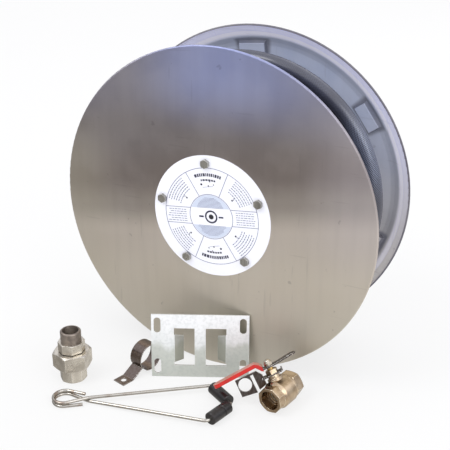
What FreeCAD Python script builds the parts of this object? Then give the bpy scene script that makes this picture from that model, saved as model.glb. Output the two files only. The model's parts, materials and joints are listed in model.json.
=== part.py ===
import FreeCAD, Part
import math
import os

# Fire hose reel standing on its two discs, with its loose fittings laid out on the floor in front.
# Millimetres, +Z up, front of the reel faces -Y. Everything is drawn about the reel's centre on
# its spin axis, then moved back so that the hanger plate's bolting face is at Y = 0.

# ---- driving dimensions: reel ----
DISC_R = 266.0            # outer radius of both discs
RIM_Y = 87.5              # rim planes at -RIM_Y (front) and +RIM_Y (rear)
SHEET = 1.2               # disc sheet thickness
BEAD_R = 2.2              # rolled bead on each disc edge
FACE_Y = -91.1            # front surface of the front disc at its centre
BASE_Y = 112.8            # front surface of the rear disc's flat base
DISC_HOLE_R = 30.0        # centre hole in both discs
LABEL_R = 100.0
LABEL_T = 1.0
TIE_COUNT = 5
TIE_CIRCLE_R = 87.0
TIE_START = 96.2          # angle of the first tie bolt, anticlockwise from +X seen from the front
TIE_R = 4.0
TIE_AF = 13.0             # M8 head and nut, across flats
PAD_COUNT = 6
PAD_START = 35.5
PAD_INNER_R = 209.0
PAD_OUTER_R = 240.0
PAD_HALF_WIDTH = 25.5
PAD_LIFT = 8.0
PAD_SLOPE = 10.0

DRUM_R = 96.0
DRUM_WALL = 1.4
HOSE_R = 12.75            # outer radius of the hose
LAYER_TOP_R = 209.0       # top of the full layers
TURN_R = 220.5            # centre radius of the last, outermost turn
TURN_Y = 46.0
TURN_START = 150.0        # the last turn climbs on here
TURN_END = 222.0          # and leaves the pack here for the nozzle
NOZZLE_X = -234.0

SPINDLE_R = 16.0
WATERWAY_R = 10.0
BUSH_BORE_R = 16.06       # running clearance on the spindle
BUSH_R = 22.0
BSP_R = 16.62             # 1 inch pipe thread, major radius
BSP_BORE_R = 15.15        # 1 inch pipe thread, bore radius
BSP_DEPTH = 16.0
INLET_NECK_R = 15.5
PLAY = 0.05               # radial play between assembled pieces
BOLTING_Y = 128.6         # rear face of the hanger plate web
FLANGE_R = 43.0           # spindle flange against the hanger plate
FLANGE_BOLT_CIRCLE_R = 32.0
WALL_HOLE_R = 4.5         # hanger plate's own wall holes
WALL_HOLE_X = 28.0        # and their places either side of its centre
WALL_HOLE_Z = 48.0

# ---- driving dimensions: fittings on the floor ----
FLOOR_Z = -DISC_R
BRACKET_W = 158.0
BRACKET_H = 108.0
BRACKET_T = 3.0
BRACKET_AT = (1.4, -139.0)
BRACKET_TURN = 23.5
BRACKET_LEAN = 8.0
UNION_AT = (-185.5, -226.0)
CLIP_AT = (-106.2, -201.0)
CLIP_TURN = -17.0
VALVE_AT = (148.3, -152.0, 24.0)
VALVE_TURN = 78.2         # valve axis, anticlockwise from +X seen from above
VALVE_ROLL = 33.0         # stem leans this far from upright
LEVER_TURN = 131.5        # lever from the valve axis, about the stem
WIRE_R = 2.6
ROLLER_R = 10.0
ROLLER_Z = 10.1           # wire height inside the rollers, above the floor
LOOP_AT = (-159.0, -290.0)
LOOP_R = 17.0
LOOP_HIGH = 8.8           # wire height in the upper and lower clamp loops, above the floor
LOOP_LOW = 2.8
CROSSING_AT = (-123.8, -276.3)
NOZZLE_HOLE_R = 10.5      # hole in the nozzle keeper

V = FreeCAD.Vector
X_DIR = V(1, 0, 0)
Y_DIR = V(0, 1, 0)
Z_DIR = V(0, 0, 1)
ORIGIN = V(0, 0, 0)


# ---- shape helpers ----
def lathe(points, axis=Y_DIR):
    """Revolve (radius, height) points about the Y axis, or about Z."""
    if axis == Y_DIR:
        corners = [V(r, h, 0) for r, h in points]
    else:
        corners = [V(r, 0, h) for r, h in points]
    face = Part.Face(Part.makePolygon(corners + corners[:1]))
    return face.revolve(ORIGIN, axis, 360)


def rod(radius, start, end):
    """Cylinder between two points."""
    start = V(*start)
    span = V(*end) - start
    return Part.makeCylinder(radius, span.Length, start, span)


def tube(outer, inner, start, end):
    return rod(outer, start, end).cut(rod(inner, start, end))


def block(low, high):
    size = V(*high) - V(*low)
    return Part.makeBox(size.x, size.y, size.z, V(*low))


def prism(sides, flats, height, turn=0.0, top=0.0, bottom=0.0):
    """Regular prism on the XY plane, its corners taken off by cones at the top and bottom."""
    corner_r = flats / 2 / math.cos(math.pi / sides)
    corners = []
    for step in range(sides + 1):
        angle = math.radians(turn + 360 / sides * (step + 0.5))
        corners.append(V(corner_r * math.cos(angle), corner_r * math.sin(angle), 0))
    solid = Part.Face(Part.makePolygon(corners)).extrude(V(0, 0, height))
    fall = (corner_r - flats / 2) * math.tan(math.radians(30))
    cone = [(0, 0), (corner_r - fall * bottom * 1.7, 0), (corner_r + 0.1, fall * bottom),
            (corner_r + 0.1, height - fall * top), (corner_r - fall * top * 1.7, height), (0, height)]
    return solid.common(lathe(cone, Z_DIR))


def place(shape, origin, x_dir=X_DIR, z_dir=Z_DIR):
    """Move a shape from its own axes to an origin and a pair of directions."""
    y_dir = z_dir.cross(x_dir)
    matrix = FreeCAD.Matrix(x_dir.x, y_dir.x, z_dir.x, origin.x,
                            x_dir.y, y_dir.y, z_dir.y, origin.y,
                            x_dir.z, y_dir.z, z_dir.z, origin.z,
                            0, 0, 0, 1)
    moved = shape.copy()
    moved.Placement = FreeCAD.Placement(matrix).multiply(shape.Placement)
    return moved


def heading(degrees):
    """Horizontal unit vector at an angle from +X."""
    return V(math.cos(math.radians(degrees)), math.sin(math.radians(degrees)), 0)


def ring_points(count, radius, start, y):
    """Points on a circle about the spin axis."""
    points = []
    for step in range(count):
        angle = math.radians(start + 360 / count * step)
        points.append(V(radius * math.cos(angle), y, radius * math.sin(angle)))
    return points


def flange_points(y):
    """Centres of the four bolts that hold the spindle flange."""
    return ring_points(4, FLANGE_BOLT_CIRCLE_R, 45, y)


def drilled(shape, points, radius, depth):
    """Cut holes along +Y that start at the given points."""
    for point in points:
        shape = shape.cut(Part.makeCylinder(radius, depth, point, Y_DIR))
    return shape


def rounded_path(points, radii):
    """Lines through the points, with an arc of the given radius at each inner point."""
    edges = []
    start = points[0]
    for before, corner, after, radius in zip(points, points[1:], points[2:], radii):
        towards = (before - corner).normalize()
        away = (after - corner).normalize()
        half = towards.getAngle(away) / 2
        reach = radius / math.tan(half)
        inward = (towards + away).normalize()
        centre = corner + inward * (radius / math.sin(half))
        arc_start = corner + towards * reach
        arc_end = corner + away * reach
        edges.append(Part.makeLine(start, arc_start))
        edges.append(Part.Arc(arc_start, centre - inward * radius, arc_end).toShape())
        start = arc_end
    edges.append(Part.makeLine(start, points[-1]))
    return edges


def swept(edges, radius):
    """Round bar along a path."""
    path = Part.Wire(edges)
    first = path.OrderedEdges[0]
    start = first.valueAt(first.FirstParameter)
    along = first.tangentAt(first.FirstParameter)
    profile = Part.Wire(Part.makeCircle(radius, start, along))
    return path.makePipeShell([profile], True, False)


def plate_strip(outline, half_width):
    """Plate whose (x, z) outline is given, centred on the XZ plane."""
    corners = [V(x, -half_width, z) for x, z in outline]
    face = Part.Face(Part.makePolygon(corners + corners[:1]))
    return face.extrude(V(0, 2 * half_width, 0))


def bent_strip(centre_line, thickness, half_width):
    """Strip of constant thickness bent along an (x, z) centre line."""
    upper = []
    lower = []
    last = len(centre_line) - 1
    for index, (x, z) in enumerate(centre_line):
        x0, z0 = centre_line[max(index - 1, 0)]
        x1, z1 = centre_line[min(index + 1, last)]
        length = math.hypot(x1 - x0, z1 - z0)
        side_x = -(z1 - z0) / length * thickness / 2
        side_z = (x1 - x0) / length * thickness / 2
        upper.append((x + side_x, z + side_z))
        lower.append((x - side_x, z - side_z))
    return plate_strip(upper + lower[::-1], half_width)


# ---- discs, drum and hose ----
def dished(points, thickness):
    """Sheet turned about the spin axis; the points are its front surface."""
    back = [(r, y + thickness) for r, y in points]
    return lathe(points + back[::-1])


def bead(y):
    return Part.makeTorus(DISC_R - BEAD_R, BEAD_R, V(0, y, 0), Y_DIR)


def tie_holes(shape):
    starts = ring_points(TIE_COUNT, TIE_CIRCLE_R, TIE_START, -120)
    return drilled(shape, starts, TIE_R + 0.3, 260)


def make_front_disc():
    crown_r = 120.0
    rim_r = DISC_R - BEAD_R
    bead_y = -RIM_Y + BEAD_R / 2
    sheet = dished([(DISC_HOLE_R, FACE_Y), (crown_r, FACE_Y), (rim_r, bead_y - BEAD_R)], SHEET)
    return tie_holes(sheet.fuse(bead(bead_y)))


def make_pad(front_y, inset):
    """Tapered block from the rear disc's base up to a flat top; its outer side slopes most."""
    rings = []
    for y, taper in ((BASE_Y + 3, 0), (front_y, 1)):
        low_x = PAD_INNER_R + inset + 3 * taper
        high_x = PAD_OUTER_R - inset - PAD_SLOPE * taper
        side = PAD_HALF_WIDTH - inset - 3 * taper
        corners = [V(low_x, y, -side), V(high_x, y, -side), V(high_x, y, side), V(low_x, y, side)]
        rings.append(Part.makePolygon(corners + corners[:1]))
    return Part.makeLoft(rings, True, True)


def make_rear_disc():
    rim_r = DISC_R - BEAD_R
    flank = [(DISC_HOLE_R, BASE_Y), (228.0, BASE_Y), (235.0, 110.9), (249.5, 99.0), (rim_r, RIM_Y)]
    disc = dished(flank, SHEET).fuse(bead(RIM_Y + BEAD_R / 2))
    for step in range(PAD_COUNT):
        turn = -(PAD_START + 360 / PAD_COUNT * step)
        outer = make_pad(BASE_Y - PAD_LIFT, 0.0)
        inner = make_pad(BASE_Y - PAD_LIFT + SHEET, SHEET)
        outer.rotate(ORIGIN, Y_DIR, turn)
        inner.rotate(ORIGIN, Y_DIR, turn)
        behind = lathe([(200, BASE_Y + SHEET)] + [(r + 0.2, y + SHEET) for r, y in flank[1:4]]
                       + [(255, 130), (200, 130)])
        disc = disc.fuse(outer.cut(behind)).cut(inner)
    return tie_holes(disc)


def make_drum_shell():
    ends = (0, FACE_Y + SHEET, 0), (0, BASE_Y, 0)
    shell = tube(DRUM_R, DRUM_R - DRUM_WALL, *ends)
    return shell.cut(rod(HOSE_R + 1.5, (-70, 0, 0), (-110, 0, 0)))


def make_drum_end(flange_y, floor_y, thickness):
    """Pressed end of the drum, dished inwards to carry a bush."""
    cup = dished([(BUSH_R + PLAY, floor_y), (50, floor_y), (60, flange_y),
                  (DRUM_R - DRUM_WALL - PLAY, flange_y)], thickness)
    return tie_holes(cup)


def make_bush(floor_y, thickness, outward):
    """Flanged plastic bush; outward is -1 at the front and +1 at the rear."""
    face = floor_y if outward < 0 else floor_y + thickness
    flange = tube(28, BUSH_BORE_R, (0, face, 0), (0, face + 3 * outward, 0))
    sleeve = tube(BUSH_R, BUSH_BORE_R, (0, face, 0), (0, face - 16 * outward, 0))
    return flange.fuse(sleeve).removeSplitter()


def make_tie_bolts():
    head_h = 5.3
    head = prism(6, TIE_AF, head_h, top=1.0)
    bolts = []
    face = FACE_Y - LABEL_T
    for point in ring_points(TIE_COUNT, TIE_CIRCLE_R, TIE_START, face):
        shank = Part.makeCylinder(TIE_R, 120.4 - face, point, Y_DIR)
        bolts.append(place(head, point, X_DIR, V(0, -1, 0)).fuse(shank))
    return Part.makeCompound(bolts)


def make_tie_nuts():
    nut = prism(6, TIE_AF, 6.0, top=1.0).cut(rod(TIE_R + PLAY, (0, 0, -1), (0, 0, 9)))
    points = ring_points(TIE_COUNT, TIE_CIRCLE_R, TIE_START, BASE_Y + SHEET)
    return Part.makeCompound([place(nut, point, X_DIR, Y_DIR) for point in points])


def make_label():
    plate = tube(LABEL_R, 2.0, (0, FACE_Y - LABEL_T, 0), (0, FACE_Y, 0))
    return tie_holes(plate)


def make_centre_plug():
    """Dome plug in the centre hole of the label plate."""
    face = FACE_Y - LABEL_T
    stem = rod(1.9, (0, face, 0), (0, face + 6, 0))
    dome = lathe([(0, face - 1.6), (2.6, face - 1.2), (4.0, face), (0, face)])
    return stem.fuse(dome)


def on_turn(angle, radius=TURN_R):
    return V(radius * math.cos(math.radians(angle)), TURN_Y, radius * math.sin(math.radians(angle)))


def hose_end_path():
    """The last turn, then a straight run and a bend up to the nozzle."""
    leave = on_turn(TURN_END)
    along = V(math.sin(math.radians(TURN_END)), 0, -math.cos(math.radians(TURN_END)))
    corner = leave + along * ((NOZZLE_X - leave.x) / along.x)
    tail = V(NOZZLE_X, TURN_Y, -24)
    turn = Part.Arc(on_turn(TURN_START + 360), on_turn(0), leave).toShape()
    return [turn] + rounded_path([leave, corner, tail], [65])


def make_hose_pack():
    front, rear, inner_r = -78, 104, DRUM_R + 0.4
    pack = lathe([(inner_r, front), (LAYER_TOP_R, front), (LAYER_TOP_R, rear), (inner_r, rear)])
    return pack.fuse(swept(hose_end_path(), HOSE_R))


# ---- spindle and waterway ----
def make_spindle():
    shaft = rod(SPINDLE_R, (0, -82, 0), (0, 126, 0))
    collar = rod(26, (0, 102.8, 0), (0, 116.5, 0))
    flange = rod(FLANGE_R, (0, 116.5, 0), (0, 124.5, 0))
    inlet = lathe([(0, 124.5), (INLET_NECK_R, 124.5), (INLET_NECK_R, 130), (BSP_R, 130),
                   (BSP_R, 150.5), (BSP_R - 1.5, 152), (0, 152)])
    spindle = shaft.fuse(collar).fuse(flange).fuse(inlet).removeSplitter()
    spindle = spindle.cut(rod(WATERWAY_R, (0, -14, 0), (0, 153, 0)))
    spindle = spindle.cut(rod(4.5, (-20, 0, 0), (20, 0, 0)))
    spindle = spindle.cut(rod(4.5, (0, 0, -20), (0, 0, 20)))
    for y in (-12, 12):
        spindle = spindle.cut(tube(SPINDLE_R + 1, 13.6, (0, y - 1.5, 0), (0, y + 1.5, 0)))
    spindle = spindle.cut(tube(SPINDLE_R + 1, 14.6, (0, -78.8, 0), (0, -77.2, 0)))
    return drilled(spindle, flange_points(116), TIE_R, 10)


def make_seal_rings():
    rings = [Part.makeTorus(14.8, 1.15, V(0, y, 0), Y_DIR) for y in (-12, 12)]
    return Part.makeCompound(rings)


def make_retaining_ring():
    ring = tube(20.5, 14.7, (0, -78.7, 0), (0, -77.3, 0))
    return ring.cut(block((-4, -80, -22), (4, -76, -12)))


def make_thrust_washer(y):
    return tube(25.5, SPINDLE_R + PLAY, (0, y, 0), (0, y + 1.4, 0))


def make_waterway_hub():
    hub = rod(27, (0, -20, 0), (0, 20, 0)).cut(rod(BUSH_BORE_R, (0, -21, 0), (0, 21, 0)))
    hub = hub.cut(rod(21, (0, -6, 0), (0, 6, 0)))
    boss = rod(14, (-15, 0, 0), (-38, 0, 0)).cut(rod(BUSH_BORE_R, (0, -21, 0), (0, 21, 0)))
    boss = boss.cut(rod(21, (0, -6, 0), (0, 6, 0)))
    return hub.fuse(boss).cut(rod(10, (-15, 0, 0), (-39, 0, 0)))


def make_outlet_pipe():
    spigot = rod(10 - PLAY, (-26, 0, 0), (-38, 0, 0))
    nut = place(prism(6, 24, 8, top=1.0), V(-38.1, 0, 0), Y_DIR, V(-1, 0, 0))
    barb = rod(9.4, (-38, 0, 0), (-88, 0, 0))
    pipe = spigot.fuse(nut).fuse(barb)
    for x in (-60, -68, -76, -84):
        ridge = lathe([(0, 0), (9.9, 0), (9.4, 4), (0, 4)], Z_DIR)
        pipe = pipe.fuse(place(ridge, V(x, 0, 0), Y_DIR, V(-1, 0, 0)))
    return pipe.cut(rod(7, (-20, 0, 0), (-90, 0, 0)))


def make_hose_lead():
    lead = tube(HOSE_R, 9.95, (-56, 0, 0), (-DRUM_R, 0, 0))
    return lead.common(rod(DRUM_R, (0, -20, 0), (0, 20, 0)))


def make_hose_clamp():
    band = tube(HOSE_R + 1.1, HOSE_R + PLAY, (-64, 0, 0), (-74, 0, 0))
    housing = block((-74, -6, HOSE_R + 0.6), (-64, 6, HOSE_R + 7))
    screw = rod(2.6, (-69, -11, HOSE_R + 4), (-69, 9, HOSE_R + 4))
    clear = rod(HOSE_R + PLAY, (-60, 0, 0), (-80, 0, 0))
    return band.fuse(housing.fuse(screw).cut(clear))


def make_hanger_plate():
    web_front, half_w, half_h, flange_t, flange_y = BOLTING_Y - 4, 42, 60, 4, 148
    web = block((-half_w, web_front, -half_h), (half_w, BOLTING_Y, half_h))
    for x in (-half_w, half_w - flange_t):
        web = web.fuse(block((x, web_front, -half_h), (x + flange_t, flange_y, half_h)))
    web = web.removeSplitter().cut(rod(BSP_R + 0.5, (0, 120, 0), (0, 132, 0)))
    web = drilled(web, flange_points(120), TIE_R + 0.4, 12)
    corners = [V(x, 120, z) for x in (-WALL_HOLE_X, WALL_HOLE_X) for z in (-WALL_HOLE_Z, WALL_HOLE_Z)]
    return drilled(web, corners, WALL_HOLE_R, 12)


def make_hanger_bolts():
    bolts = []
    for point in flange_points(BOLTING_Y):
        head = place(prism(6, TIE_AF, 5.3, top=1.0), point, X_DIR, Y_DIR)
        shank = Part.makeCylinder(TIE_R - PLAY, 11.5, point, V(0, -1, 0))
        bolts.append(head.fuse(shank))
    return Part.makeCompound(bolts)


# ---- nozzle ----
def nozzle_spin(points):
    return place(lathe(points, Z_DIR), V(NOZZLE_X, TURN_Y, 0))


def make_nozzle_ferrule():
    return nozzle_spin([(HOSE_R + PLAY, -42), (15.2, -42), (15.2, -24), (HOSE_R + PLAY, -24)])


def make_nozzle_body():
    return nozzle_spin([(6, -23.9), (15.2, -23.9), (15.2, -17), (12.5, -13), (12.5, 44), (9, 48),
                        (9, 56), (6, 56)])


def make_nozzle_sleeve():
    sleeve = nozzle_spin([(12.56, -8), (16.2, -8), (17.2, -5), (17.2, 20), (15.4, 26), (15.4, 40),
                          (16.2, 44), (12.56, 44)])
    for step in range(12):
        groove = rod(1.2, (17.6, 0, -4), (17.6, 0, 19))
        groove.rotate(ORIGIN, Z_DIR, 30 * step)
        sleeve = sleeve.cut(place(groove, V(NOZZLE_X, TURN_Y, 0)))
    return sleeve


# ---- wall bracket ----
def rounded_slot(x, z, width, height):
    radius = width / 2
    half = height / 2 - radius
    slot = block((x - radius, -9, z - half), (x + radius, 9, z + half))
    slot = slot.fuse(rod(radius, (x, -9, z + half), (x, 9, z + half)))
    return slot.fuse(rod(radius, (x, -9, z - half), (x, 9, z - half)))


def make_tongue(side, root):
    """Tongue bent 45 degrees out of the outer edge of a window; its top edge slopes."""
    low, high, drop, reach = 25.0, 73.0, 7.0, 14.5
    tip = root - side * reach
    outline = [V(root, 0, low), V(tip, 0, low), V(tip, 0, high - drop), V(root, 0, high)]
    tongue = Part.Face(Part.makePolygon(outline + outline[:1])).extrude(V(0, BRACKET_T, 0))
    shear = FreeCAD.Matrix()
    shear.A21 = -side
    shear.A24 = abs(root)
    left, right = sorted((root, root - side))
    bend = block((left, 0, low), (right, BRACKET_T, high))
    return tongue.transformGeometry(shear).fuse(bend)


def make_wall_bracket():
    """Plate leaning back, with four wall slots and two windows with a bent tongue each."""
    slot_x, slot_inset = 69.3, 18.5
    window_in, window_out = 9.0, 42.3
    window_low, window_high = 20.0, 84.5
    plate = block((-BRACKET_W / 2, 0, 0), (BRACKET_W / 2, BRACKET_T, BRACKET_H))
    for x in (-slot_x, slot_x):
        for z in (slot_inset, BRACKET_H - slot_inset):
            plate = plate.cut(rounded_slot(x, z, 11, 26))
    for side in (-1, 1):
        left, right = sorted((side * window_in, side * window_out))
        plate = plate.cut(block((left, -9, window_low), (right, 9, window_high)))
        plate = plate.fuse(make_tongue(side, side * window_out))
    lean = math.radians(BRACKET_LEAN)
    along = heading(BRACKET_TURN)
    up = Z_DIR * math.cos(lean) + Z_DIR.cross(along) * math.sin(lean)
    lift = BRACKET_T * math.sin(lean)
    return place(plate.removeSplitter(), V(*BRACKET_AT, FLOOR_Z + lift), along, up)


# ---- barrel union with nipple, standing on end ----
UNION_BASE_H = 38.0
UNION_NUT_LOW = 24.6
UNION_NUT_HIGH = 51.5
UNION_HEAD_H = 68.5
UNION_TOP = 87.5
NIPPLE_BURIED_R = 16.4
UNION_FLATS = 40.0
UNION_NUT_FLATS = 55.0


def on_union(shape):
    return place(shape, V(*UNION_AT, FLOOR_Z))


def make_union_tail():
    body = prism(8, UNION_FLATS, 24, turn=4, bottom=1.0)
    neck = [(0, 24), (17.5, 24), (17.5, 34), (21, 34), (21, UNION_BASE_H), (0, UNION_BASE_H)]
    body = body.fuse(lathe(neck, Z_DIR))
    body = body.cut(rod(BSP_BORE_R, (0, 0, -1), (0, 0, BSP_DEPTH)))
    return on_union(body.cut(rod(12.5, (0, 0, 0), (0, 0, 60))))


def make_union_gasket():
    return on_union(tube(20.5, 13.5, (0, 0, UNION_BASE_H), (0, 0, UNION_BASE_H + 1.5)))


def make_union_head():
    low = UNION_BASE_H + 1.5
    body = lathe([(0, low), (23.4, low), (23.4, 46), (17.4, 46), (17.4, 53), (0, 53)], Z_DIR)
    crown = prism(8, UNION_FLATS, UNION_HEAD_H - 53, turn=14, top=1.0)
    crown.translate(V(0, 0, 53))
    body = body.fuse(crown).cut(rod(12.5, (0, 0, 30), (0, 0, 70)))
    return on_union(body.cut(rod(BSP_R + PLAY, (0, 0, UNION_HEAD_H - 16), (0, 0, 70))))


def make_union_nut():
    nut = prism(6, UNION_NUT_FLATS, UNION_NUT_HIGH - UNION_NUT_LOW, turn=13, top=1.0, bottom=1.0)
    nut.translate(V(0, 0, UNION_NUT_LOW))
    nut = nut.cut(rod(17.55, (0, 0, 20), (0, 0, 60)))
    inside = lathe([(0, 20), (21.1, 20), (21.1, 39.4), (23.5, 39.4), (23.5, 46.1), (0, 46.1)], Z_DIR)
    return on_union(nut.cut(inside))


def make_union_nipple():
    nipple = lathe([(0, UNION_HEAD_H - 15), (NIPPLE_BURIED_R, UNION_HEAD_H - 15),
                    (NIPPLE_BURIED_R, UNION_HEAD_H + 0.1), (BSP_R, UNION_HEAD_H + 0.1),
                    (BSP_R, UNION_TOP - 1.5), (BSP_R - 1.5, UNION_TOP), (0, UNION_TOP)], Z_DIR)
    return on_union(nipple.cut(rod(13.2, (0, 0, 40), (0, 0, 100))))


# ---- pipe clip ----
def make_pipe_clip():
    """Strap ring that is open beside its foot, and a straight leg down to the drilled foot."""
    thickness, half_width, inner_r = 1.4, 12.0, 21.8
    centre = V(50.0, 0, 26.0)
    half = V(0, half_width, 0)
    foot_start, foot_end, foot_z = -11.0, 10.0, 0.8
    joint_angle, gap_angle, gap_reach = 213.0, 30.0, 60.0
    ring = tube(inner_r + thickness, inner_r, centre - half, centre + half)
    wedge_top = V(-gap_reach, 0, 0)
    opening = math.radians(gap_angle)
    wedge_low = V(-gap_reach * math.cos(opening), 0, -gap_reach * math.sin(opening))
    gap = Part.Face(Part.makePolygon([ORIGIN, wedge_top, wedge_low, ORIGIN])).extrude(half * 2.1)
    gap.rotate(ORIGIN, Y_DIR, 180 - joint_angle - 1.8)
    gap.translate(centre - half * 1.05)
    middle_r = inner_r + thickness / 2
    joint_x = centre.x + middle_r * math.cos(math.radians(joint_angle))
    joint_z = centre.z + middle_r * math.sin(math.radians(joint_angle))
    line = [(foot_start, foot_z), (foot_end, foot_z), (joint_x, joint_z)]
    leg = bent_strip(line, thickness, half_width)
    strap = ring.cut(gap).fuse(leg).cut(rod(WALL_HOLE_R, (0, 0, -2), (0, 0, 4)))
    across = heading(CLIP_TURN)
    return place(strap, V(*CLIP_AT, FLOOR_Z), Z_DIR.cross(across), Z_DIR)


# ---- hose guide: bent wire with rollers ----
LEG_START = V(34.5, -166.4, FLOOR_Z + ROLLER_Z)
LEG_CORNER = V(84.8, -197.6, FLOOR_Z + ROLLER_Z)
LEG_END = V(70.3, -252.4, FLOOR_Z + ROLLER_Z)


def clamp_loop(height, side):
    """Loop that the wire enters from the crossing, ending in a straight cut end.

    side is -1 where the wire enters along the front of the loop and +1 along the rear.
    """
    centre = V(*LOOP_AT, FLOOR_Z + height)
    crossing = V(*CROSSING_AT, FLOOR_Z + height)
    out = crossing - centre
    contact = math.atan2(out.y, out.x) + side * math.acos(LOOP_R / out.Length)
    sweep = side * math.radians(222)
    angles = [contact, contact + sweep / 2, contact + sweep]
    arc_points = [centre + V(math.cos(a), math.sin(a), 0) * LOOP_R for a in angles]
    arc = Part.Arc(*arc_points).toShape()
    onward = V(-math.sin(angles[2]), math.cos(angles[2]), 0) * side
    cut_end = Part.makeLine(arc_points[2], arc_points[2] + onward * 27)
    return crossing, arc_points[0], [arc, cut_end]


def make_guide_wire():
    upper_cross, upper_start, upper_loop = clamp_loop(LOOP_HIGH, -1)
    lower_cross, lower_start, lower_loop = clamp_loop(LOOP_LOW, 1)
    points = [upper_start, upper_cross, LEG_START, LEG_CORNER, LEG_END, lower_cross, lower_start]
    middle = rounded_path(points, [40, 9, 6, 9, 40])
    return swept(upper_loop[::-1] + middle + lower_loop, WIRE_R)


def make_roller(leg_from, leg_to, start, length):
    """Plastic sleeve on a straight leg of the wire."""
    along = (leg_to - leg_from).normalize()
    sleeve = lathe([(WIRE_R + PLAY, 0), (ROLLER_R - 1, 0), (ROLLER_R, 1), (ROLLER_R, length - 1),
                    (ROLLER_R - 1, length), (WIRE_R + PLAY, length)], Z_DIR)
    return place(sleeve, leg_from + along * start, Z_DIR.cross(along), along)


# ---- stop valve: X along the bore, Z along the stem ----
VALVE_X = heading(VALVE_TURN)
VALVE_SIDE = Z_DIR.cross(VALVE_X)
VALVE_Z = Z_DIR * math.cos(math.radians(VALVE_ROLL)) + VALVE_SIDE * math.sin(math.radians(VALVE_ROLL))
VALVE_ORIGIN = V(VALVE_AT[0], VALVE_AT[1], FLOOR_Z + VALVE_AT[2])
VALVE_HALF = 32.0
BALL_R = 15.5
PORT_R = 10.5
PASSAGE_R = 11.0
CAVITY_R = 18.2
CAVITY_HALF = 12.5
STEM_R = 5.0
VALVE_FLATS = 39.0
CAP_FLATS = 38.0
BOSS_TOP = 29.0
HUB_Z = 43.5              # middle of the lever plate, from the bore axis


def on_valve(shape):
    return place(shape, VALVE_ORIGIN, VALVE_X, VALVE_Z)


def on_lever(shape):
    """Shapes drawn with the lever along +X."""
    turned = shape.copy()
    turned.rotate(ORIGIN, Z_DIR, LEVER_TURN)
    return on_valve(turned)


def along_x(shape, start):
    return place(shape, V(start, 0, 0), Y_DIR, X_DIR)


def make_valve_body():
    barrel_start, barrel_length, barrel_r = -18.0, 30.5, 22.5
    end = along_x(prism(8, VALVE_FLATS, 14, turn=22.5, bottom=1.0), -VALVE_HALF)
    profile = [(0, 0), (barrel_r - 2.5, 0), (barrel_r, 5), (barrel_r, barrel_length - 1.5),
               (barrel_r - 1.5, barrel_length), (0, barrel_length)]
    barrel = along_x(lathe(profile, Z_DIR), barrel_start)
    shoulder = rod(12, (0, 0, 10), (0, 0, BOSS_TOP - 5))
    boss = rod(9.5, (0, 0, 10), (0, 0, BOSS_TOP))
    body = end.fuse(barrel).fuse(shoulder).fuse(boss)
    body = body.cut(rod(BSP_BORE_R, (-VALVE_HALF - 1, 0, 0), (-VALVE_HALF + BSP_DEPTH, 0, 0)))
    body = body.cut(rod(PASSAGE_R, (-VALVE_HALF, 0, 0), (0, 0, 0)))
    body = body.cut(rod(CAVITY_R, (-CAVITY_HALF, 0, 0), (CAVITY_HALF + 0.1, 0, 0)))
    return on_valve(body.cut(rod(STEM_R + PLAY, (0, 0, 0), (0, 0, 40))))


def make_valve_end_cap():
    start = CAVITY_HALF + 0.1
    collar = along_x(lathe([(0, 0), (21, 0), (21, 4), (0, 4)], Z_DIR), start)
    end = along_x(prism(6, CAP_FLATS, BSP_DEPTH, turn=0, top=1.0, bottom=0.4), VALVE_HALF - BSP_DEPTH)
    cap = collar.fuse(end)
    cap = cap.cut(rod(BSP_BORE_R, (VALVE_HALF - BSP_DEPTH, 0, 0), (VALVE_HALF + 1, 0, 0)))
    return on_valve(cap.cut(rod(PASSAGE_R, (10, 0, 0), (VALVE_HALF, 0, 0))))


def make_valve_seats():
    seats = []
    for side in (-1, 1):
        ring = tube(CAVITY_R - PLAY, PASSAGE_R, (side * 8, 0, 0), (side * CAVITY_HALF, 0, 0))
        seats.append(on_valve(ring.cut(Part.makeSphere(BALL_R + PLAY))))
    return Part.makeCompound(seats)


def make_gland_nut():
    nut = prism(6, 17, 7, top=1.0)
    nut.translate(V(0, 0, BOSS_TOP + 2.2))
    return on_valve(nut.cut(rod(STEM_R + PLAY, (0, 0, 0), (0, 0, 40))))


def make_interlock_plate():
    """Nozzle keeper held under the gland nut: a ring tab, a leg and a plate with a large hole."""
    tab = block((-15, -9, BOSS_TOP + 0.1), (18, 9, BOSS_TOP + 2.1))
    hook = block((-17, -4, BOSS_TOP + 0.1), (-15, 4, BOSS_TOP + 6))
    leg = plate_strip([(15, 20), (28.5, 16.5), (28.5, 45.5), (22, 45.5), (15, 36)], 1.25)
    bridge = plate_strip([(22, 42.5), (57.5, 42.5), (57.5, 45.5), (22, 45.5)], 1.25)
    plate = plate_strip([(33, 14), (58, 17.5), (57.5, 45.5), (33, 45.5)], 1.25)
    keeper = tab.fuse(hook).fuse(leg).fuse(bridge).fuse(plate)
    keeper = keeper.cut(rod(NOZZLE_HOLE_R, (45.8, -3, 33), (45.8, 3, 33)))
    return on_lever(keeper.cut(rod(STEM_R + 0.3, (0, 0, 20), (0, 0, 33))))


def make_valve_ball():
    """Closed at rest: the port lies across the bore."""
    ball = Part.makeSphere(BALL_R).cut(rod(PORT_R, (0, -20, 0), (0, 20, 0)))
    return on_valve(ball.cut(block((-2.6, -6, 11.5), (2.6, 6, 20))))


def make_valve_stem():
    stem = rod(STEM_R, (0, 0, 15.6), (0, 0, HUB_Z + 9.5))
    tongue = block((-2.5, -4.2, 11.6), (2.5, 4.2, 15.7))
    return on_valve(stem.fuse(tongue))


LEVER_LINE = [(-38, HUB_Z + 3), (-30, HUB_Z + 2.3), (-11, HUB_Z), (8, HUB_Z), (11, HUB_Z + 1.5),
              (16, HUB_Z + 8), (20, HUB_Z + 11), (81, HUB_Z + 8)]
LEVER_T = 2.4
LEVER_HALF_W = 8.0
SLEEVE_T = 6.0
SLEEVE_HALF_W = 9.5


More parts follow.
